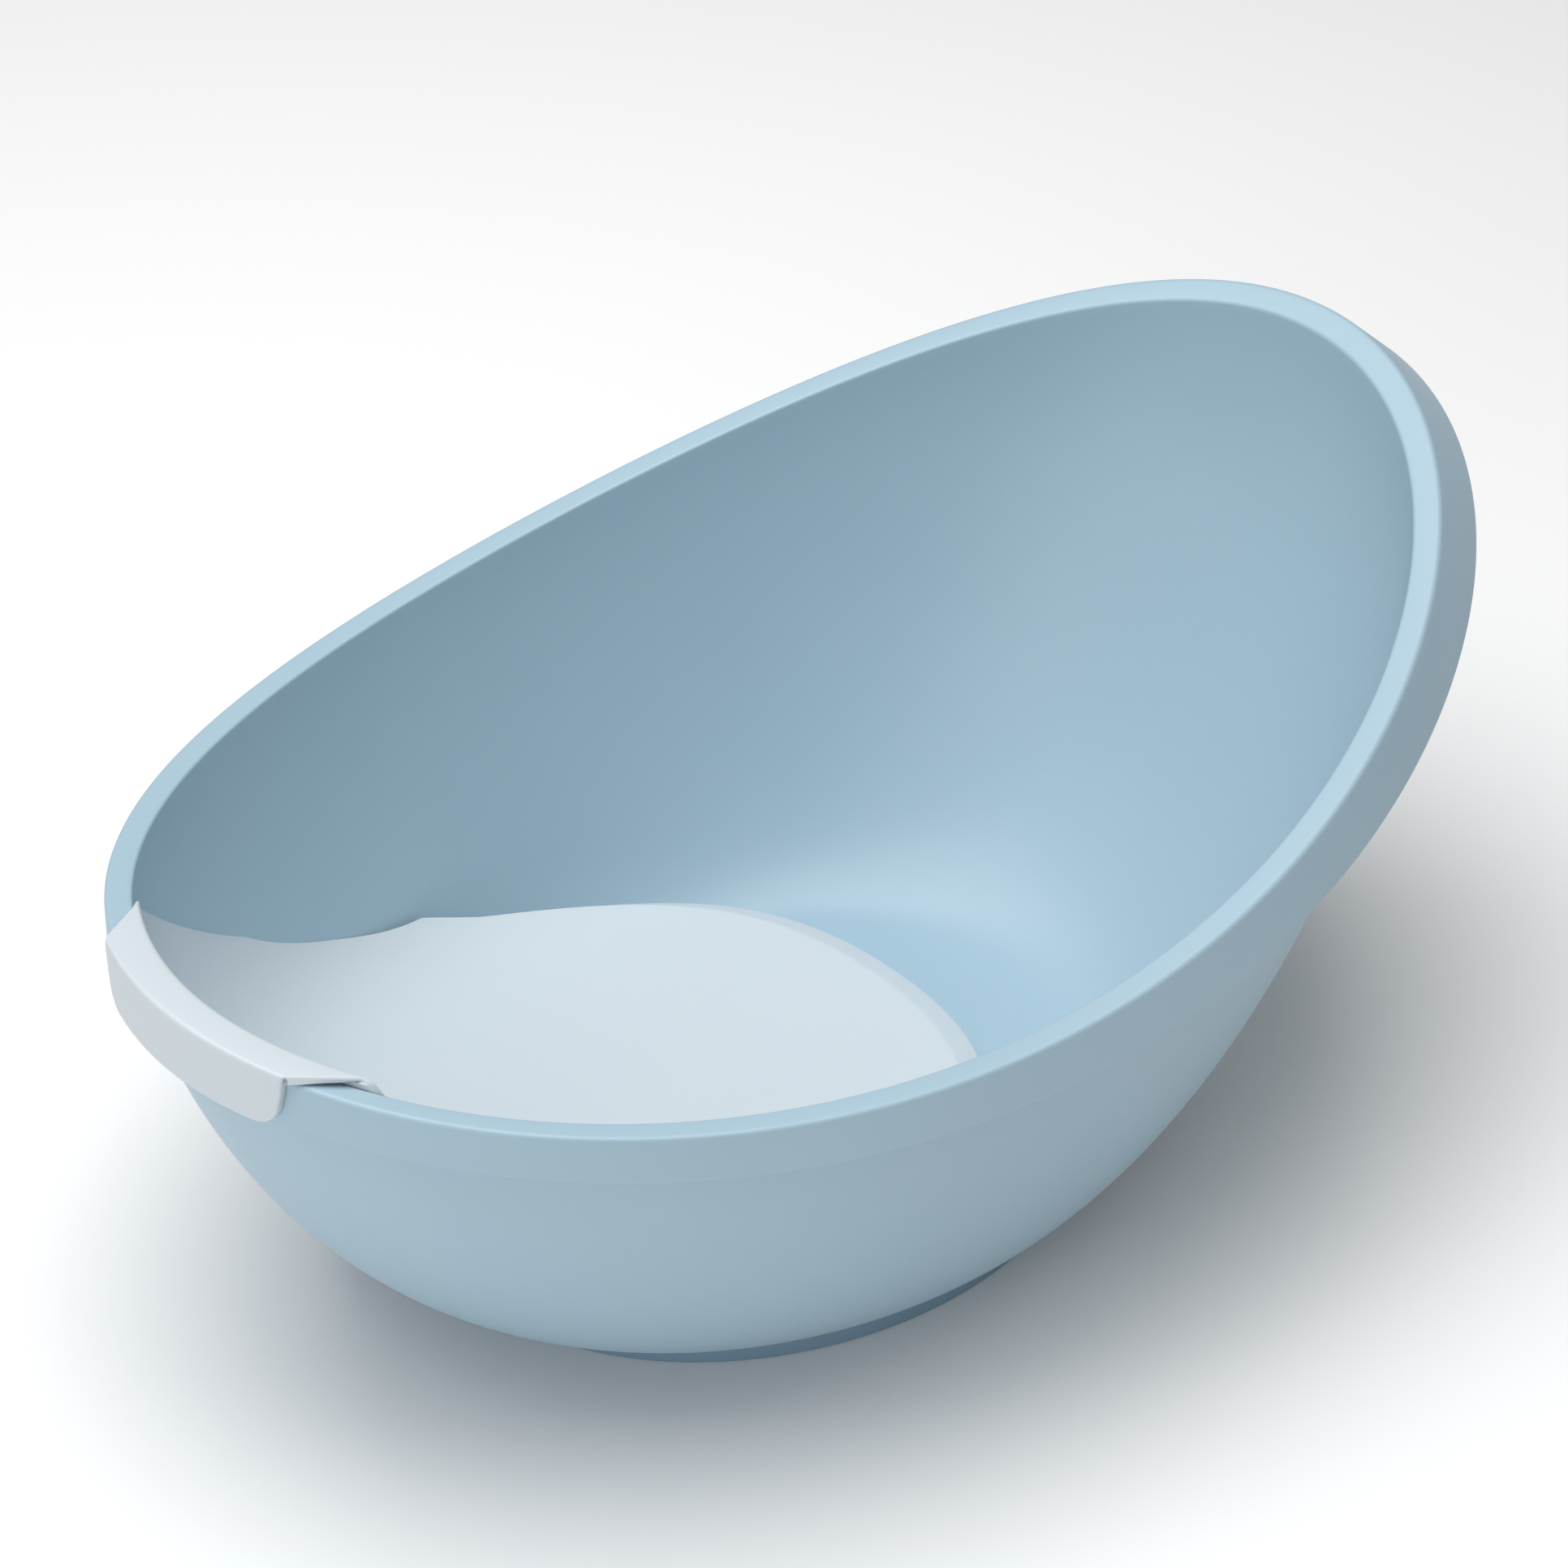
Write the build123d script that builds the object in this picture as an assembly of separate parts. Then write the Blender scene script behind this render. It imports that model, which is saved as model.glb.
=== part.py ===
from build123d import *
import math
import os

# Baby bathtub: a one-piece oval bowl with a rising rim and a down-turned skirt, a lift-out
# raised seat that hooks over the low end of the rim, and a grip ring pressed on the foot.
# Millimetres. +X points to the high (head) end, +Y to the side, +Z up. The origin is the
# centre of the foot oval, on the surface that the bath stands on.

# --- Rim outline and rim heights -------------------------------------------------------
rim_half_length = 335.0       # outer top edge, along X
rim_half_width = 231.7        # outer top edge, along Y
rim_centre_x = 20.9           # the rim leans this far towards the head end
rim_height_foot = 232.0       # top of the rim at the low end
rim_height_mid = 214.8        # top of the rim half-way along
rim_height_head = 319.7       # top of the rim at the high end
rim_slope_mid = 0.112         # rise per unit length half-way along
rim_width = 12.2              # flat band from the outer top edge to the mouth

# --- Skirt that turns down from the rim ------------------------------------------------
skirt_depth = 23.5            # from the rim's top edge to the skirt's free edge
skirt_flare_length = 13.0     # the free edge's outline is this much longer, each end
skirt_flare_width = 4.9       # and this much wider, each side
skirt_shift_x = 13.0          # and moved this far to the head end: upright at the low end

# --- Bowl and foot ---------------------------------------------------------------------
wall = 3.0                    # bowl, flange and skirt
wall_fullness = 0.444         # weight of the conic that is the wall's profile
foot_half_length = 167.7      # foot oval, along X
foot_half_width = 141.8       # foot oval, along Y
foot_height = 16.1            # from the ground to the underside of the bowl
foot_wall = 3.0               # rib that carries the grip ring
grip_skin = 2.5               # grip ring's wall on each side of the rib and under it
grip_gap = 0.3                # between the grip ring's top and the bowl

# --- Seat ------------------------------------------------------------------------------
seat_height = 66.0            # top of the flat part of the seat
seat_skin = 3.0               # wall of the moulded seat
seat_bevel_width = 15.0       # sloping band along the front edge of the flat part
seat_bevel_drop = 6.0
seat_bevel_taper = 0.25       # on the flanks the band is this share as wide
seat_nose_x = 89.4            # front edge of the seat, at its middle
seat_flat_x = -39.0           # here the scooped back of the seat becomes flat
seat_nose_fullness = 111.0    # half-width at which the nose turns across
seat_flank_x = 20.9           # the flanks aim at this point
seat_flank_half_width = 131.0
seat_root_x = -89.0           # the flanks leave the bowl's wall here
seat_root_half_width = 186.0
scoop_fullness = 0.9          # weight of the conic that is the scoop's profile
seat_edge_bend_x = -176.0     # the side edge bends towards this point in side view
seat_edge_bend_height = 80.0
seat_edge_lift = 4.0          # above the flat, where the side edge ends
seat_hollow_below_rim = 40.0  # the hollow under the seat ends this far below the rim
fit_gap = 0.4                 # between the seat and the bath, everywhere

# --- Hook that holds the seat on the rim -----------------------------------------------
hook_thickness = 4.0
hook_inner_half_width = 82.0  # at the mouth of the bowl
hook_outer_half_width = 63.0  # at the rim's outer edge
hook_lip_half_width = 58.0    # at the lower edge of the hook's flap
hook_overhang = 2.0           # the flap reaches this far below the skirt
hook_corner_radius = 9.0      # lower corners of the flap

# --- Worked out from the sizes above ---------------------------------------------------
mouth_half_length = rim_half_length - rim_width
mouth_half_width = rim_half_width - rim_width
tool_top = rim_height_head + 60.0       # tools that cut reach this high
tool_side = rim_half_width + 150.0      # and this far sideways
outline_points = 24                     # points on each closed oval curve
wall_levels = 12                        # sections through the bowl's wall


def rim_height(x):
    """Height of the rim's top at x: a cubic through the three driving heights."""
    u = (x - rim_centre_x) / rim_half_length
    rise = rim_slope_mid * rim_half_length
    bow = (rim_height_head + rim_height_foot) / 2 - rim_height_mid
    curl = (rim_height_head - rim_height_foot) / 2 - rise
    return rim_height_mid + rise * u + bow * u**2 + curl * u**3


def oval_curve(point_at):
    """A closed smooth wire through point_at(angle), for angles all the way round."""
    angles = [2 * math.pi * i / outline_points for i in range(outline_points)]
    steps = [i / outline_points for i in range(outline_points + 1)]
    points = [point_at(angle) for angle in angles]
    return Wire([Edge.make_spline(points, periodic=True, parameters=steps)])


def wall_reach(rise):
    """How far out the wall is (0 at the foot oval, 1 at the mouth) at a share of its height.

    The wall is a conic that leaves the floor level and ends upright. Above the mouth it is
    its own mirror image, so that the curve runs smoothly through the mouth.
    """
    root = math.sqrt(min(rise, 2 - rise))
    flatness = 2 * (1 - wall_fullness)
    spread = math.sqrt((flatness * root) ** 2 + 4 * (1 - flatness * root**2))
    climb = 2 * root / (flatness * root + spread)
    bend = 2 * climb * (1 - climb) * wall_fullness
    return (bend + climb**2) / ((1 - climb) ** 2 + bend + climb**2)


def bowl_space(inset):
    """The solid inside the bowl's outer face moved in by inset, carried on past the rim."""
    floor = foot_height + inset

    def ring_point(angle, level):
        top_x = rim_centre_x + (mouth_half_length + wall - inset) * math.cos(angle)
        top_y = (mouth_half_width + wall - inset) * math.sin(angle)
        reach = wall_reach((level - floor) / (rim_height(top_x) - floor))
        foot_x = foot_half_length * math.cos(angle)
        foot_y = foot_half_width * math.sin(angle)
        return (foot_x + (top_x - foot_x) * reach, foot_y + (top_y - foot_y) * reach, level)

    levels = [floor + (tool_top - floor) * (i / wall_levels) ** 2 for i in range(wall_levels + 1)]
    return Solid.make_loft([oval_curve(lambda angle, z=z: ring_point(angle, z)) for z in levels])


def skirt_space(growth):
    """The solid inside the skirt's outer face moved out by growth."""

    def face_point(angle, level):
        top_x = rim_centre_x + rim_half_length * math.cos(angle)
        share = (rim_height(top_x) - level) / skirt_depth
        flare_x = skirt_shift_x + skirt_flare_length * math.cos(angle)
        flare_y = skirt_flare_width * math.sin(angle)
        return (
            top_x + growth * math.cos(angle) + share * flare_x,
            (rim_half_width + growth) * math.sin(angle) + share * flare_y,
            level,
        )

    low = rim_height_mid - 3 * skirt_depth + growth
    high = rim_height_head + 2 * skirt_depth - growth
    rings = [oval_curve(lambda angle, z=z: face_point(angle, z)) for z in (low, high)]
    return Solid.make_loft(rings, ruled=True)


def under_curve(height_at, low=-50.0):
    """The solid below a surface whose height depends on x alone."""
    reach = rim_half_length + 60.0
    stations = [rim_centre_x + reach * (i / 12 - 1) for i in range(25)]
    top = Edge.make_spline([(x, 0, height_at(x)) for x in stations])
    ends = [(stations[0], 0), (stations[-1], 0)]
    a = Vector(stations[0], 0, height_at(stations[0]))
    b = Vector(stations[-1], 0, height_at(stations[-1]))
    c = Vector(stations[-1], 0, low)
    d = Vector(stations[0], 0, low)
    profile = Wire([top, Edge.make_line(b, c), Edge.make_line(c, d), Edge.make_line(d, a)])
    return extrude(Face(profile), amount=tool_side, dir=(0, 1, 0), both=True)


def skirt_edge_height(x):
    """Height of the skirt's free edge at x."""
    stretch = rim_half_length / (rim_half_length + skirt_flare_length)
    rim_x = rim_centre_x + (x - rim_centre_x - skirt_shift_x) * stretch
    return rim_height(rim_x) - skirt_depth


def oval_block(half_length, half_width, low, high):
    """An upright oval prism about the origin."""
    return extrude(Plane.XY.offset(low) * Ellipse(half_length, half_width), amount=high - low)


def mouth_oval(growth):
    """Upright oval prism on the mouth of the bowl moved out by growth."""
    half_length = mouth_half_length + growth
    half_width = mouth_half_width + growth
    return Pos(rim_centre_x, 0, 0) * oval_block(half_length, half_width, 0, tool_top)


def tub_shell():
    """Bowl, rim flange, skirt and foot rib, moulded in one piece."""
    under_rim = under_curve(rim_height)
    pocket = skirt_space(-wall) & under_curve(lambda x: rim_height(x) - wall)
    lip = (skirt_space(0) & under_rim) - under_curve(skirt_edge_height) - pocket
    lip -= mouth_oval(-rim_width)
    rib_length = foot_half_length - grip_skin
    rib_width = foot_half_width - grip_skin
    rib = oval_block(rib_length, rib_width, grip_skin, foot_height + wall / 2)
    rib -= oval_block(rib_length - foot_wall, rib_width - foot_wall, 0, foot_height + wall)
    outside = (bowl_space(0) & under_rim) + lip + rib
    return outside - bowl_space(wall)


def grip_ring():
    """Soft U-section ring around the foot rib."""
    depth = 2 * grip_skin + foot_wall
    top = foot_height - grip_gap
    ring = oval_block(foot_half_length, foot_half_width, 0, top)
    ring -= oval_block(foot_half_length - depth, foot_half_width - depth, 0, top)
    groove = oval_block(foot_half_length - grip_skin, foot_half_width - grip_skin, grip_skin, top)
    inside = grip_skin + foot_wall
    groove -= oval_block(foot_half_length - inside, foot_half_width - inside, 0, top)
    return ring - groove


def mouth_end_x(y):
    """Where the mouth of the bowl lies, at its low end, at distance y from the middle."""
    return rim_centre_x - mouth_half_length * math.sqrt(1 - (y / mouth_half_width) ** 2)


def side_outline(y, top_gap, start_gap, drop):
    """Vertical section of the space under the seat's scooped top, at distance y from the middle."""
    mouth_x = mouth_end_x(y)
    start_x = mouth_x + start_gap
    start_z = rim_height(mouth_x) + top_gap
    back_x = mouth_x - rim_width
    flat_z = seat_height - drop
    front_x = seat_nose_x + rim_width
    scoop_ends = [(start_x, y, start_z), (start_x, y, flat_z), (seat_flat_x, y, flat_z)]
    scoop = Edge.make_bezier(*scoop_ends, weights=[1, scoop_fullness, 1])
    corners = [
        (seat_flat_x, y, flat_z),
        (front_x, y, flat_z),
        (front_x, y, 0),
        (back_x, y, 0),
        (back_x, y, start_z),
        (start_x, y, start_z),
    ]
    sides = [Edge.make_line(a, b) for a, b in zip(corners, corners[1:])]
    return Wire([scoop] + sides)


def scoop_space(top_gap, start_gap, drop):
    """The solid under the seat's scooped top: conics from the rim down to the flat."""
    half = seat_root_half_width + 2 * seat_skin
    stations = [half * (i / 5 - 1) for i in range(11)]
    return Solid.make_loft([side_outline(y, top_gap, start_gap, drop) for y in stations])


def mirrored(points):
    """The points, then their mirror images across the middle plane in reverse order."""
    return points + [(x, -y) for x, y in reversed(points)]


def seat_outline(inset, flank_inset):
    """The seat's outline from above, moved in: a nose whose flanks widen to the bowl's wall."""
    nose = Bezier(
        (seat_nose_x - inset, 0),
        (seat_nose_x - inset, seat_nose_fullness - inset),
        (seat_flank_x, seat_flank_half_width - flank_inset),
        (seat_root_x, seat_root_half_width - flank_inset),
    )
    back_x = rim_centre_x - rim_half_length - 2 * rim_width
    side = Polyline(
        (seat_root_x, seat_root_half_width - flank_inset),
        (seat_root_x - rim_width, rim_half_width),
        (back_x, rim_half_width),
        (back_x, 0),
    )
    half = nose + side
    return make_face(half + mirror(half, Plane.XZ))


def seat_plan(inset):
    """Upright prism on the seat's outline."""
    return extrude(seat_outline(inset, inset), amount=tool_top, both=True)


def seat_bevel(lowering):
    """What the sloping band along the seat's front edge takes off."""
    low = seat_height - 2 * seat_bevel_drop - lowering
    high = seat_height + seat_bevel_drop - lowering
    taper = seat_bevel_width * seat_bevel_taper
    wide = Plane.XY.offset(low) * seat_outline(-seat_bevel_width, -taper)
    narrow = Plane.XY.offset(high) * seat_outline(2 * seat_bevel_width, 2 * taper)
    kept = Solid.make_loft([wide.face().outer_wire(), narrow.face().outer_wire()], ruled=True)
    length = seat_nose_x + rim_width - seat_root_x
    height = high - low - seat_bevel_drop / 2
    slab = Box(length, 2 * rim_half_width - rim_width, height, align=(Align.MIN, Align.CENTER, Align.CENTER))
    return Pos(seat_root_x, 0, (low + high) / 2) * slab - kept


def seat_edge_space():
    """The solid under the seat's side edge, which falls from the mouth of the bowl."""
    mouth_x = mouth_end_x(hook_inner_half_width)
    start = (mouth_x - hook_thickness, rim_height_foot + hook_thickness)
    bend = (seat_edge_bend_x, seat_edge_bend_height)
    end = (seat_flat_x, seat_height + seat_edge_lift)
    falling = Bezier(start, bend, end)
    front = (seat_nose_x + 2 * rim_width, end[1])
    back_x = rim_centre_x - rim_half_length - 2 * rim_width
    low = -tool_top
    rest = Polyline(end, front, (front[0], low), (back_x, low), (back_x, tool_top), (start[0], tool_top), start)
    return extrude(Plane.XZ * make_face(falling + rest), amount=tool_side, both=True)


def hook_plan():
    """Upright prism on the hook's outline: it narrows from the mouth outwards."""
    inner_x = mouth_end_x(hook_inner_half_width)
    outer_x = rim_centre_x - rim_half_length * math.sqrt(
        1 - (hook_outer_half_width / rim_half_width) ** 2
    )
    run = inner_x - outer_x
    narrowing = hook_inner_half_width - hook_outer_half_width
    far_x = rim_centre_x - rim_half_length - 2 * rim_width
    far_half_width = hook_outer_half_width - narrowing * (outer_x - far_x) / run
    near_x = inner_x + rim_width
    near_half_width = hook_inner_half_width
    points = mirrored([(near_x, near_half_width), (inner_x, hook_inner_half_width), (far_x, far_half_width)])
    return extrude(make_face(Polyline(*points, close=True)), amount=tool_top, dir=(0, 0, 1))


def flap_front():
    """Front-view outline of the hook's flap, run through along X: rounded lower corners."""
    low = skirt_edge_height(rim_centre_x - rim_half_length) - hook_overhang
    high = rim_height_foot + 2 * hook_thickness
    lip = hook_lip_half_width
    slope = (hook_outer_half_width - lip) / skirt_depth
    wide = lip + slope * (high - low)
    sketch = Polygon((-lip, low), (lip, low), (wide, high), (-wide, high), align=None)
    corners = sketch.vertices().sort_by(Axis.Y)[:2]
    rounded = fillet(corners, hook_corner_radius)
    return extrude(Plane.YZ.offset(-2 * rim_half_length) * rounded, amount=2 * rim_half_length)


def seat():
    """Raised seat with a scooped back, hollow underneath, and the hook over the low rim."""
    hook_top = fit_gap + hook_thickness
    solid_seat = (scoop_space(hook_top, fit_gap + seat_skin, 0) & seat_plan(0)) - seat_bevel(0)
    hollow = (scoop_space(fit_gap, fit_gap, seat_skin) & seat_plan(seat_skin)) - seat_bevel(seat_skin)
    ceiling = rim_height_foot - seat_hollow_below_rim
    hollow &= Pos(0, 0, ceiling / 2 - tool_side) * Box(4 * tool_side, 2 * tool_side, ceiling + 2 * tool_side)
    shell = (solid_seat - hollow) & seat_edge_space() & bowl_space(wall + fit_gap)

    under_top = under_curve(lambda x: rim_height(x) + hook_top)
    outer = under_top & skirt_space(hook_top) & hook_plan()
    plate = outer - under_curve(lambda x: rim_height(x) + fit_gap)
    plate -= mouth_oval(-fit_gap - seat_skin)
    flap = outer - skirt_space(fit_gap)
    flap -= under_curve(lambda x: skirt_edge_height(x) - hook_overhang)
    flap &= flap_front()
    return shell + plate + flap


parts = {
    "tub_shell": tub_shell(),
    "grip_ring": grip_ring(),
    "seat": seat(),
}

os.makedirs("parts", exist_ok=True)
for name, part in parts.items():
    export_step(part, f"parts/{name}.step")
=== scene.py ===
import bmesh
import bpy
import math
import numpy as np
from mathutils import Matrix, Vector


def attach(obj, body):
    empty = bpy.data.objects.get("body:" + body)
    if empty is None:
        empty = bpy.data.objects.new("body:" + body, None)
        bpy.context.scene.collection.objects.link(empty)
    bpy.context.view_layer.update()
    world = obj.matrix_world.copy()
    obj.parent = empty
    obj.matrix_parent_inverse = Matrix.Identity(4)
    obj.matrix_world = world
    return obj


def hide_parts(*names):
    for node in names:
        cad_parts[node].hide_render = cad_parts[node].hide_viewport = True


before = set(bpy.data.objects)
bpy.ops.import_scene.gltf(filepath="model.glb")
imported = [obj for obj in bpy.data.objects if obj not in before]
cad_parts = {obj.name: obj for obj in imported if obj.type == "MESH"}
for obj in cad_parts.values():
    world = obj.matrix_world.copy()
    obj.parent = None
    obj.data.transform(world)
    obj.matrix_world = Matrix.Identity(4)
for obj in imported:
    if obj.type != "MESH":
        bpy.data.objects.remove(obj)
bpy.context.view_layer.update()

# Millimetres, as in the CAD source; mesh points are scaled to metres when a mesh is made.
RIM_LENGTH = 335.0
RIM_WIDTH = 231.7
RIM_X = 20.9
RIM_FOOT = 232.0
RIM_MID = 214.8
RIM_HEAD = 319.7
RIM_SLOPE = 0.112
BAND = 12.2
SKIRT_DEPTH = 23.5
SKIRT_FLARE_X = 13.0
SKIRT_FLARE_Y = 4.9
SKIRT_SHIFT = 13.0
WALL = 3.0
WALL_WEIGHT = 0.444
FOOT_LENGTH = 167.7
FOOT_WIDTH = 141.8
FOOT_HEIGHT = 16.1
FOOT_RIB = 3.0
GRIP_SKIN = 2.5
GRIP_GAP = 0.3
SEAT_HEIGHT = 66.0
SEAT_SKIN = 3.0
SEAT_BEVEL = 15.0
SEAT_DROP = 6.0
SEAT_TAPER = 0.25
SEAT_NOSE = 89.4
SEAT_FLAT = -39.0
SEAT_NOSE_FULL = 111.0
FLANK = (20.9, 131.0)
ROOT = (-89.0, 186.0)
SCOOP_WEIGHT = 0.9
EDGE_BEND = (-176.0, 80.0)
EDGE_LIFT = 4.0
SEAT_EASE = 60.0  # length over which the seat's side edge eases into its flank
FLANK_START = 0.975  # the flank starts at this share of the way to the bowl's wall
BEVEL_FADE = 0.1  # share of the half-width in which the bevel fades out at its ends
HOOK_ROUND = 0.018  # share of the half-width that is rounded off at the hook's ends
HOOK_SINK = 1.5  # how far the rounded ends of the hook go down
GAP = 0.4
HOOK = 4.0
HOOK_INNER = 82.0
HOOK_OUTER = 63.0
HOOK_LIP = 58.0
HOOK_OVERHANG = 2.0
HOOK_CORNER = 9.0

MOUTH_LENGTH = RIM_LENGTH - BAND
MOUTH_WIDTH = RIM_WIDTH - BAND
HALVINGS = 40  # steps of each search by halving
WELD = 2e-6  # metres


# --- Curves of the bath ----------------------------------------------------------------
def rim_height(x):
    u = (x - RIM_X) / RIM_LENGTH
    rise = RIM_SLOPE * RIM_LENGTH
    bow = (RIM_HEAD + RIM_FOOT) / 2 - RIM_MID
    curl = (RIM_HEAD - RIM_FOOT) / 2 - rise
    return RIM_MID + rise * u + bow * u**2 + curl * u**3


def wall_profile(climb):
    """(how far out, how far up) the bowl's wall is, both 0 to 1, along its conic."""
    bend = 2 * climb * (1 - climb) * WALL_WEIGHT
    whole = (1 - climb) ** 2 + bend + climb**2
    return (bend + climb**2) / whole, climb**2 / whole


def wall_rise(reach):
    """The wall's height share where it is this far out."""
    low = np.zeros_like(reach)
    high = np.ones_like(reach)
    for _ in range(HALVINGS):
        mid = (low + high) / 2
        out = wall_profile(mid)[0] < reach
        low = np.where(out, mid, low)
        high = np.where(out, high, mid)
    return wall_profile((low + high) / 2)[1]


def wall_point(angle, climb, inset):
    """A point on the bowl's outer face moved in by inset."""
    reach, rise = wall_profile(climb)
    floor = FOOT_HEIGHT + inset
    top_x = RIM_X + (MOUTH_LENGTH + WALL - inset) * np.cos(angle)
    top_y = (MOUTH_WIDTH + WALL - inset) * np.sin(angle)
    foot_x = FOOT_LENGTH * np.cos(angle)
    foot_y = FOOT_WIDTH * np.sin(angle)
    x = foot_x + (top_x - foot_x) * reach
    y = foot_y + (top_y - foot_y) * reach
    return np.stack([x, y, floor + (rim_height(top_x) - floor) * rise], -1)


def bowl_floor(x, y):
    """Height of the bowl's inner face under each (x, y); very high outside the mouth."""
    low = np.zeros_like(x)
    high = np.ones_like(x) * 1.3
    for _ in range(HALVINGS):
        reach = (low + high) / 2
        a = FOOT_LENGTH + (MOUTH_LENGTH - FOOT_LENGTH) * reach
        b = FOOT_WIDTH + (MOUTH_WIDTH - FOOT_WIDTH) * reach
        outside = ((x - RIM_X * reach) / a) ** 2 + (y / b) ** 2 > 1
        low = np.where(outside, reach, low)
        high = np.where(outside, high, reach)
    a = FOOT_LENGTH + (MOUTH_LENGTH - FOOT_LENGTH) * reach
    cosine = np.clip((x - RIM_X * reach) / a, -1, 1)
    floor = FOOT_HEIGHT + WALL
    top = rim_height(RIM_X + MOUTH_LENGTH * cosine)
    z = floor + (top - floor) * wall_rise(np.minimum(reach, 1.0))
    return np.where(reach > 1.0, top + (reach - 1.0) * 5000.0, np.where(reach < 1e-6, floor, z))


def skirt_point(angle, share, growth):
    """A point on the skirt's outer face moved out by growth; share is 0 at the rim, 1 at the edge."""
    top_x = RIM_X + RIM_LENGTH * np.cos(angle)
    x = top_x + growth * np.cos(angle) + share * (SKIRT_SHIFT + SKIRT_FLARE_X * np.cos(angle))
    y = (RIM_WIDTH + growth) * np.sin(angle) + share * SKIRT_FLARE_Y * np.sin(angle)
    return np.stack([x, y, rim_height(top_x) - share * SKIRT_DEPTH], -1)


# --- Meshes ----------------------------------------------------------------------------
def lerp(a, b, t):
    return a + (b - a) * t


def rounded(points, radii, steps=5):
    """Section rows through the points, with each inner corner rounded. Points are row arrays."""
    rows = [points[0]]
    for before, corner, after, radius in zip(points, points[1:], points[2:], radii):
        if radius == 0:
            rows.append(corner)
            continue
        back = before - corner
        on = after - corner
        back_length = np.maximum(np.linalg.norm(back, axis=-1, keepdims=True), 1e-6)
        on_length = np.maximum(np.linalg.norm(on, axis=-1, keepdims=True), 1e-6)
        reach = np.minimum(radius, 0.48 * np.minimum(back_length, on_length))
        back = back / back_length
        on = on / on_length
        for i in range(steps + 1):
            t = i / steps
            bend = (1 - t) ** 2 * back + t**2 * on
            rows.append(corner + reach * bend)
    rows.append(points[-1])
    return rows


def grid_mesh(name, grid, wrap_rows=False, wrap_columns=False):
    """A quad mesh from grid[row, column] = point in millimetres."""
    rows, columns = grid.shape[:2]
    vertices = (grid.reshape(-1, 3) / 1000.0).tolist()
    faces = []
    for r in range(rows if wrap_rows else rows - 1):
        for c in range(columns if wrap_columns else columns - 1):
            r2 = (r + 1) % rows
            c2 = (c + 1) % columns
            faces.append((r * columns + c, r * columns + c2, r2 * columns + c2, r2 * columns + c))
    mesh = bpy.data.meshes.new(name)
    mesh.from_pydata(vertices, [], faces)
    return mesh


def finish_mesh(name, mesh, sharp_degrees):
    """Welds doubles, fixes the normals, smooths the shading and links the object."""
    work = bmesh.new()
    work.from_mesh(mesh)
    bmesh.ops.remove_doubles(work, verts=work.verts, dist=WELD)
    bmesh.ops.dissolve_degenerate(work, edges=work.edges, dist=1e-6)
    bmesh.ops.recalc_face_normals(work, faces=work.faces)
    limit = math.radians(sharp_degrees)
    for face in work.faces:
        face.smooth = True
    for edge in work.edges:
        if len(edge.link_faces) == 2:
            edge.smooth = edge.calc_face_angle(0.0) < limit
    work.to_mesh(mesh)
    work.free()
    piece = bpy.data.objects.new(name, mesh)
    bpy.context.scene.collection.objects.link(piece)
    return piece


def tub_mesh():
    """The whole moulding as one closed profile carried round the oval."""
    angle = np.linspace(0, 2 * math.pi, 320, endpoint=False)
    zero = np.zeros_like(angle)

    def foot_oval(inset, z):
        x = (FOOT_LENGTH - inset) * np.cos(angle)
        y = (FOOT_WIDTH - inset) * np.sin(angle)
        return np.stack([x, y, zero + z], -1)

    inner_floor = FOOT_HEIGHT + WALL
    rows = []
    for share in (0.0, 0.2, 0.4, 0.6, 0.8, 0.93):
        edge = foot_oval(0, inner_floor)
        edge[:, :2] *= share
        rows.append(edge)
    climbs = np.concatenate([np.linspace(0, 0.9, 46), [0.93, 0.955]])
    for climb in climbs:
        rows.append(wall_point(angle, climb, WALL))
    mouth = wall_point(angle, 1.0, WALL)
    near_mouth = wall_point(angle, 0.972, WALL)
    rim_edge = skirt_point(angle, 0.0, 0.0)
    band = []
    for share in (0.0, 1.0):
        row = lerp(mouth, rim_edge, share)
        row[:, 2] = rim_height(row[:, 0])
        band.append(row)
    lip = skirt_point(angle, 1.0, 0.0)
    lip_inside = skirt_point(angle, 1.0, -WALL)
    under = skirt_point(angle, 0.0, -WALL)
    under[:, 2] = rim_height(under[:, 0]) - WALL
    outside = wall_point(angle, 1.0, 0)
    joint = outside.copy()
    joint[:, 2] -= WALL
    below = wall_point(angle, 0.93, 0)
    corners = [near_mouth, band[0], band[1], lip, lip_inside, under, joint, below]
    rows += rounded(corners, [1.6, 2.6, 1.2, 1.2, 2.0, 2.0])
    for climb in np.linspace(0.9, 0.0, 46):
        rows.append(wall_point(angle, climb, 0))
    rows.append(foot_oval(GRIP_SKIN, FOOT_HEIGHT))
    rows.append(foot_oval(GRIP_SKIN, GRIP_SKIN))
    rows.append(foot_oval(GRIP_SKIN + FOOT_RIB, GRIP_SKIN))
    rows.append(foot_oval(GRIP_SKIN + FOOT_RIB, FOOT_HEIGHT))
    for share in (0.9, 0.6, 0.3, 0.0):
        edge = foot_oval(GRIP_SKIN + FOOT_RIB, FOOT_HEIGHT)
        edge[:, :2] *= share
        rows.append(edge)
    return grid_mesh("tub", np.stack(rows), wrap_columns=True)


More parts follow.
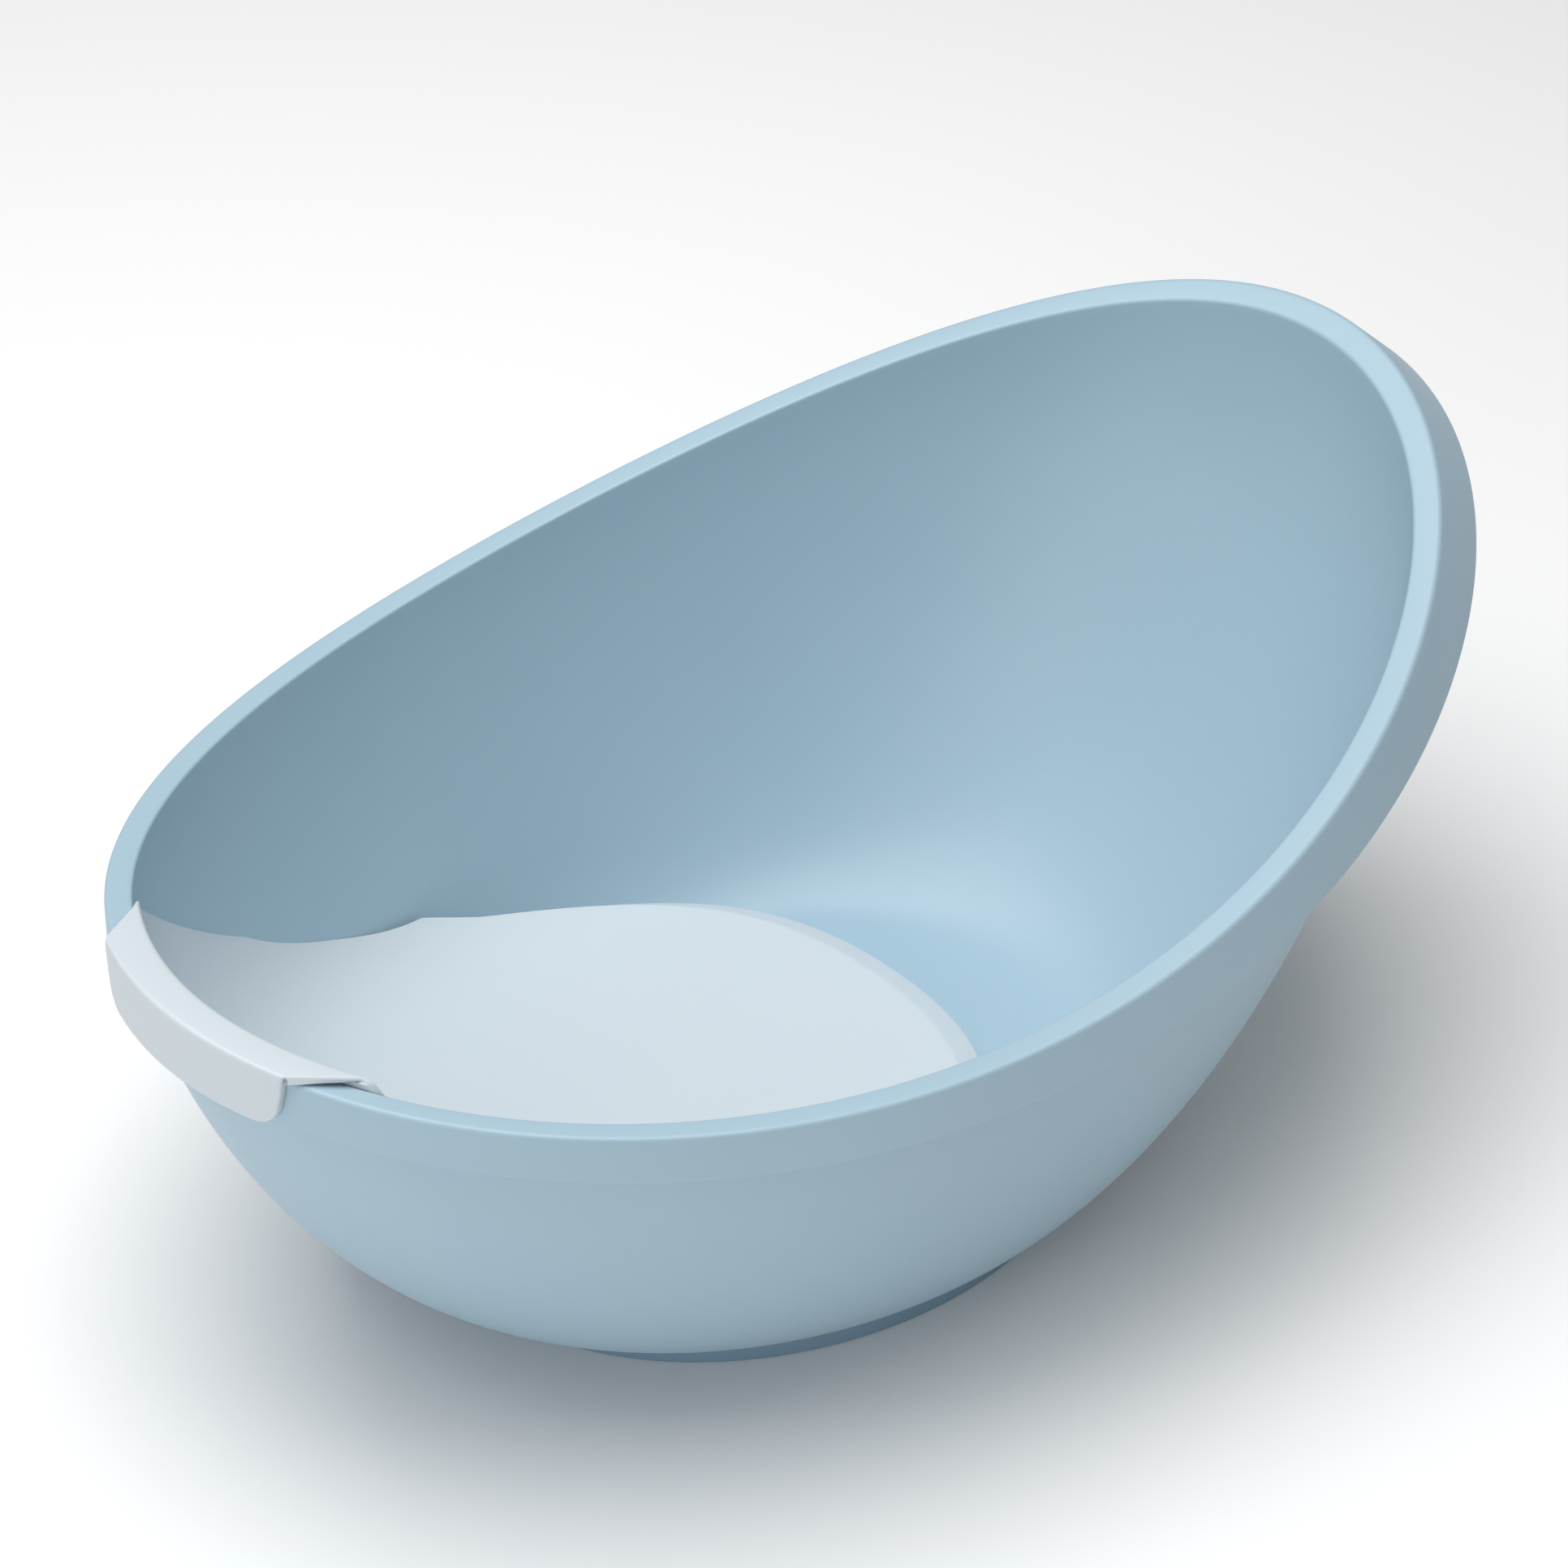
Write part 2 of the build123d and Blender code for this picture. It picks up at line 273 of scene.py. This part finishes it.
def ring_mesh():
    """The U-section ring with rounded outer edges."""
    angle = np.linspace(0, 2 * math.pi, 256, endpoint=False)
    deep = 2 * GRIP_SKIN + FOOT_RIB
    top = FOOT_HEIGHT - GRIP_GAP

    def at(inset, z):
        return np.stack(
            [(FOOT_LENGTH - inset) * np.cos(angle), (FOOT_WIDTH - inset) * np.sin(angle), angle * 0 + z], -1
        )

    corners = [at(GRIP_SKIN, top), at(0, top), at(0, 0), at(deep, 0), at(deep, top)]
    corners += [at(deep - GRIP_SKIN, top), at(deep - GRIP_SKIN, GRIP_SKIN), at(GRIP_SKIN, GRIP_SKIN)]
    rows = rounded(corners + [corners[0]], [0.7, 1.6, 1.6, 0.7, 0, 0, 0], 4)
    return grid_mesh("ring", np.stack(rows), wrap_columns=True)


# --- The seat --------------------------------------------------------------------------
def mouth_end(y):
    return RIM_X - MOUTH_LENGTH * np.sqrt(1 - (y / MOUTH_WIDTH) ** 2)


def scoop_point(u, y):
    """A point on the scooped back: u is 0 at the mouth and 1 where the seat becomes flat."""
    mouth_x = mouth_end(y)
    start_x = mouth_x + GAP + SEAT_SKIN
    start_z = rim_height(mouth_x) + GAP + HOOK
    bend = 2 * u * (1 - u) * SCOOP_WEIGHT
    whole = (1 - u) ** 2 + bend + u**2
    x = ((1 - u) ** 2 * start_x + bend * start_x + u**2 * SEAT_FLAT) / whole
    z = ((1 - u) ** 2 * start_z + bend * SEAT_HEIGHT + u**2 * SEAT_HEIGHT) / whole
    return x, z


def scoop_height(x, y):
    """Height of the seat's top under each (x, y)."""
    low = np.zeros_like(x)
    high = np.ones_like(x)
    for _ in range(HALVINGS):
        mid = (low + high) / 2
        before = scoop_point(mid, y)[0] < x
        low = np.where(before, mid, low)
        high = np.where(before, high, mid)
    return scoop_point((low + high) / 2, y)[1]


def edge_height(x):
    """The seat's side edge in side view: it falls from the mouth to the flat."""
    start_x = mouth_end(HOOK_INNER) - HOOK
    start_z = RIM_FOOT + HOOK
    end_z = SEAT_HEIGHT + EDGE_LIFT
    low = np.zeros_like(x)
    high = np.ones_like(x)
    for _ in range(HALVINGS):
        t = (low + high) / 2
        at = (1 - t) ** 2 * start_x + 2 * t * (1 - t) * EDGE_BEND[0] + t**2 * SEAT_FLAT
        low = np.where(at < x, t, low)
        high = np.where(at < x, high, t)
    z = (1 - t) ** 2 * start_z + 2 * t * (1 - t) * EDGE_BEND[1] + t**2 * end_z
    return np.where(x <= start_x, start_z, z)


def side_reach(u):
    """Half-width of the scooped back at u: up to the side edge or the bowl's wall."""
    y = np.arange(HOOK_INNER, ROOT[1] + 1.0, 0.05)
    x, z = scoop_point(u, y)
    beyond = (z > edge_height(x)) | (z < bowl_floor(x, y) + GAP)
    return y[np.argmax(beyond)] if beyond.any() else y[-1]


def flank_end():
    """Where along the outline (0 at the nose, 1 at the root) the flank meets the bowl's wall."""
    t = np.linspace(0.5, 1.0, 501)
    x, y = outline_point(t, 0.0 * t)
    beyond = bowl_floor(x, y) + GAP > scoop_height(np.minimum(x, SEAT_FLAT), y)
    return t[np.argmax(beyond)]


def last_scoop(end_x):
    """The scoop's u where its side edge has come to end_x."""
    low, high = 0.5, 1.0
    for _ in range(12):
        u = (low + high) / 2
        x = scoop_point(u, side_reach(u))[0]
        low, high = (u, high) if x < end_x else (low, u)
    return u


def outline_point(s, inset):
    """The seat's outline from one root (s = -1) round the nose to the other (s = 1), moved in.

    inset is one value for each s, and the flanks are moved in by a share of it.
    """
    t = np.abs(s)
    side = inset * SEAT_TAPER
    px = [SEAT_NOSE - inset, SEAT_NOSE - inset, FLANK[0] + 0 * inset, ROOT[0] + 0 * inset]
    py = [0 * inset, SEAT_NOSE_FULL - inset, FLANK[1] - side, ROOT[1] - side]
    weights = [(1 - t) ** 3, 3 * t * (1 - t) ** 2, 3 * t**2 * (1 - t), t**3]
    x = sum(w * p for w, p in zip(weights, px))
    y = sum(w * p for w, p in zip(weights, py))
    return x, y * np.sign(s)


def hook_rows(v):
    """Rows from the flap's lower edge, over the rim, to the mouth."""
    tip_x = RIM_X - RIM_LENGTH
    low = rim_height(tip_x) - SKIRT_DEPTH - HOOK_OVERHANG
    growth = GAP + HOOK
    slope = (HOOK_OUTER - HOOK_LIP) / SKIRT_DEPTH

    def flap(rise):
        half = HOOK_LIP + slope * rise
        if rise < HOOK_CORNER:
            half -= HOOK_CORNER - math.sqrt(HOOK_CORNER**2 - (HOOK_CORNER - rise) ** 2)
        y = v * half
        angle = math.pi - np.arcsin(y / (RIM_WIDTH + growth))
        for _ in range(6):
            top = rim_height(RIM_X + RIM_LENGTH * np.cos(angle))
            share = (top - low - rise) / SKIRT_DEPTH
            angle = math.pi - np.arcsin(y / (RIM_WIDTH + growth + share * SKIRT_FLARE_Y))
        return skirt_point(angle, share, growth)

    rows = [flap(rise) for rise in (0.0, 0.4, 1.2, 2.5, 4.5, 7.0, 9.0, 13.0, 18.0)]
    outer_y = v * HOOK_OUTER
    outer_x = RIM_X - (RIM_LENGTH + growth) * np.sqrt(1 - (outer_y / (RIM_WIDTH + growth)) ** 2)
    outer = np.stack([outer_x, outer_y, rim_height(outer_x) + growth], -1)
    inner_y = v * HOOK_INNER
    inner_x, inner_z = scoop_point(np.zeros_like(inner_y), inner_y)
    inner = np.stack([inner_x, inner_y, inner_z], -1)
    return rows, outer, inner


def normals_of(grid):
    """Unit normals of a point grid."""
    along = np.gradient(grid, axis=0)
    across = np.gradient(grid, axis=1)
    n = np.cross(across, along)
    size = np.linalg.norm(n, axis=-1, keepdims=True)
    return n / np.maximum(size, 1e-9)


def seat_top():
    """Grid of the seat's top face, from the flap over the rim and down to the nose.

    Also returns the columns, the number of rows on the hook and the number up to the flat.
    """
    middle = np.linspace(-1, 1, 73)[1:-1]
    edge = 1 - np.array([0.0, 0.002, 0.006, 0.012, 0.018])
    v = np.unique(np.concatenate([middle, edge, -edge]))
    flap, outer, inner = hook_rows(v)
    end = FLANK_START * flank_end()
    turn = v * end
    end_x, end_y = [float(value) for value in outline_point(end, 0.0)]
    fade = np.clip((1 - np.abs(v)) / BEVEL_FADE, 0, 1)
    fade = fade * fade * (3 - 2 * fade)
    scoop = []
    last_u = last_scoop(end_x)
    step_in = side_reach(last_u) - end_y
    for u in np.linspace(0.035, last_u, 56):
        half = side_reach(u)
        near_end = np.clip((scoop_point(u, half)[0] - end_x) / SEAT_EASE + 1, 0, 1)
        half -= step_in * near_end * near_end * (3 - 2 * near_end)
        x, z = scoop_point(u, v * half)
        scoop.append(np.stack([x, v * half, z], -1))
    rows = flap[:-1] + rounded([flap[-1], outer, inner, scoop[0]], [3.0, 4.0], 6)
    hook_count = len(rows)
    rows += scoop[1:]
    scoop_count = len(rows)
    last = rows[-1]
    for share in (0.2, 0.4, 0.6, 0.8, 1.0):
        x, y = outline_point(turn, (SEAT_BEVEL + 3.0) * fade)
        x = lerp(last[:, 0], x, share)
        y = lerp(last[:, 1], y, share)
        rows.append(np.stack([x, y, scoop_height(np.minimum(x, SEAT_FLAT), y)], -1))
    corners = [rows[-1]]
    for inset, drop in ((SEAT_BEVEL, 0.0), (0.0, SEAT_DROP)):
        x, y = outline_point(turn, inset * fade)
        corners.append(np.stack([x, y, scoop_height(np.minimum(x, SEAT_FLAT), y) - drop * fade], -1))
    foot = corners[2].copy()
    foot[:, 2] = np.minimum(bowl_floor(foot[:, 0], foot[:, 1]) + GAP, corners[2][:, 2])
    corners.append(foot)
    rows += rounded(corners, [2.5, 3.0], 5)[1:-1]
    before = rows[-1]
    rows += [lerp(before, foot, share) for share in (0.25, 0.5, 0.75, 1.0)]
    return np.stack(rows), v, hook_count, scoop_count


def seat_mesh():
    """A closed double sheet: the top of the seat and of its hook, and the face under it."""
    top, v, hook_count, scoop_count = seat_top()
    n = normals_of(top)
    if n[hook_count + 20, len(v) // 2, 2] < 0:
        n = -n
    row = np.arange(len(top))[:, None]
    corner = np.clip((1 - np.abs(v)) / 0.1, 0, 1)[None, :]
    n[scoop_count - 1 : scoop_count + 4] = (0, 0, 1)
    on_hook = np.clip((hook_count - row) / 8.0, 0, 1)
    depth = lerp(SEAT_SKIN, HOOK, on_hook) * np.ones_like(top[..., 0])
    tip = np.clip((1 - np.abs(v)) / 0.04, 0, 1)[None, :]
    on_scoop = (row >= hook_count - 8) & (row < scoop_count - 1)
    depth = np.where(on_scoop, depth * lerp(0.35, 1.0, tip), depth)
    depth = np.where(row >= scoop_count - 1, lerp(0.4, depth, corner), depth)
    for _ in range(24):
        under = top - n * depth[..., None]
        ground = bowl_floor(under[..., 0], under[..., 1]) + GAP * 0.75
        clash = (under[..., 2] < ground) & (row >= hook_count - 7)
        depth = np.where(clash, depth * 0.86, depth)
    under = top - n * depth[..., None]
    q = np.clip((1 - np.abs(v)) / HOOK_ROUND, 0, 1)
    sunk = HOOK_SINK * (1 - np.sqrt(1 - (1 - q) ** 2))[None, :] * on_hook
    top = top - n * sunk[..., None]
    rows, columns = top.shape[:2]
    points = np.concatenate([top.reshape(-1, 3), under.reshape(-1, 3)])
    half = rows * columns
    faces = []
    for r in range(rows - 1):
        for c in range(columns - 1):
            a = r * columns + c
            quad = (a, a + 1, a + columns + 1, a + columns)
            faces.append(quad)
            faces.append(tuple(half + i for i in reversed(quad)))
    border = list(range(columns))
    border += [r * columns + columns - 1 for r in range(1, rows)]
    border += [(rows - 1) * columns + c for c in range(columns - 2, -1, -1)]
    border += [r * columns for r in range(rows - 2, 0, -1)]
    for a, b in zip(border, border[1:] + border[:1]):
        faces.append((a, half + a, half + b, b))
    mesh = bpy.data.meshes.new("seat")
    mesh.from_pydata((points / 1000.0).tolist(), [], faces)
    return mesh


# --- Materials -------------------------------------------------------------------------
def plastic(name, light, dark, roughness, bump_height, grain):
    """Moulded plastic: slow colour drift, a fine grain in the bump and uneven gloss."""
    material = bpy.data.materials.new(name)
    material.use_nodes = True
    tree = material.node_tree
    shader = tree.nodes["Principled BSDF"]
    place = tree.nodes.new("ShaderNodeTexCoord")
    drift = tree.nodes.new("ShaderNodeTexNoise")
    drift.inputs["Scale"].default_value = 5.0
    drift.inputs["Detail"].default_value = 3.0
    tone = tree.nodes.new("ShaderNodeValToRGB")
    tone.color_ramp.elements[0].position = 0.3
    tone.color_ramp.elements[1].position = 0.7
    tone.color_ramp.elements[0].color = (*dark, 1)
    tone.color_ramp.elements[1].color = (*light, 1)
    fine = tree.nodes.new("ShaderNodeTexNoise")
    fine.inputs["Scale"].default_value = grain
    fine.inputs["Detail"].default_value = 4.0
    gloss = tree.nodes.new("ShaderNodeMapRange")
    gloss.inputs["To Min"].default_value = roughness - 0.05
    gloss.inputs["To Max"].default_value = roughness + 0.06
    bump = tree.nodes.new("ShaderNodeBump")
    bump.inputs["Strength"].default_value = 0.5
    bump.inputs["Distance"].default_value = bump_height
    link = tree.links.new
    link(place.outputs["Object"], drift.inputs["Vector"])
    link(place.outputs["Object"], fine.inputs["Vector"])
    link(drift.outputs["Fac"], tone.inputs["Fac"])
    link(tone.outputs["Color"], shader.inputs["Base Color"])
    link(fine.outputs["Fac"], gloss.inputs["Value"])
    link(gloss.outputs["Result"], shader.inputs["Roughness"])
    link(fine.outputs["Fac"], bump.inputs["Height"])
    link(bump.outputs["Normal"], shader.inputs["Normal"])
    return material


TUB_PLASTIC = plastic(
    "tub_plastic", (0.365, 0.505, 0.595), (0.345, 0.485, 0.575), 0.42, 0.00006, 900.0
)
SEAT_PLASTIC = plastic("seat_plastic", (0.585, 0.65, 0.69), (0.567, 0.632, 0.675), 0.45, 0.00006, 900.0)
# The ring under the foot gets a darker and rougher blue than the tub.
DARKER_FOOT_RING = plastic("grip_rubber", (0.235, 0.37, 0.475), (0.22, 0.35, 0.455), 0.62, 0.00012, 1400.0)


# --- Pieces on the bodies --------------------------------------------------------------
def add_piece(name, mesh, sharp_degrees, material, node, body):
    piece = finish_mesh(name, mesh, sharp_degrees)
    piece.data.materials.append(material)
    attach(piece, body)
    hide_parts(node)
    return piece


add_piece("tub_moulding", tub_mesh(), 50, TUB_PLASTIC, "tub_shell", "bath")
add_piece("foot_grip", ring_mesh(), 50, DARKER_FOOT_RING, "grip_ring", "bath")
add_piece("seat_moulding", seat_mesh(), 50, SEAT_PLASTIC, "seat", "seat_insert")


# --- Floor, light and camera -----------------------------------------------------------
def add_floor():
    mesh = bpy.data.meshes.new("floor")
    mesh.from_pydata([(-6, -6, 0), (6, -6, 0), (6, 6, 0), (-6, 6, 0)], [], [(0, 1, 2, 3)])
    floor = bpy.data.objects.new("floor", mesh)
    bpy.context.scene.collection.objects.link(floor)
    material = bpy.data.materials.new("floor_paint")
    material.use_nodes = True
    shader = material.node_tree.nodes["Principled BSDF"]
    shader.inputs["Base Color"].default_value = (0.96, 0.96, 0.96, 1)
    shader.inputs["Roughness"].default_value = 0.9
    mesh.materials.append(material)


def add_light(name, place, target, size, watts):
    data = bpy.data.lights.new(name, "AREA")
    data.shape = "RECTANGLE"
    data.size, data.size_y = size
    data.energy = watts
    light = bpy.data.objects.new(name, data)
    light.location = place
    aim = Vector(target) - Vector(place)
    light.rotation_mode = "QUATERNION"
    light.rotation_quaternion = aim.to_track_quat("-Z", "Y")
    bpy.context.scene.collection.objects.link(light)


def add_camera():
    azimuth, elevation, distance = math.radians(-40.68), math.radians(34.85), 2.4518
    target = Vector((0.0178, 0.0, 0.2001))
    back = Vector(
        (
            math.sin(azimuth) * math.cos(elevation),
            -math.cos(azimuth) * math.cos(elevation),
            math.sin(elevation),
        )
    )
    data = bpy.data.cameras.new("camera")
    data.sensor_width = 36.0
    data.lens = 36.0 * 6715 / 1932
    camera = bpy.data.objects.new("camera", data)
    camera.location = target + back * distance
    camera.rotation_mode = "QUATERNION"
    camera.rotation_quaternion = (-back).to_track_quat("-Z", "Y")
    bpy.context.scene.collection.objects.link(camera)
    bpy.context.scene.camera = camera


add_floor()
add_light("overhead", (-0.25, 0.2, 2.4), (0, 0, 0.1), (2.3, 2.3), 62.0)
add_light("left_fill", (-2.2, -1.0, 0.9), (0, 0, 0.15), (1.8, 1.4), 14.0)
world = bpy.data.worlds.new("studio")
world.use_nodes = True
world.node_tree.nodes["Background"].inputs["Color"].default_value = (1.0, 1.0, 1.0, 1)
world.node_tree.nodes["Background"].inputs["Strength"].default_value = 0.27
bpy.context.scene.world = world
bpy.context.scene.view_settings.view_transform = "Standard"
add_camera()
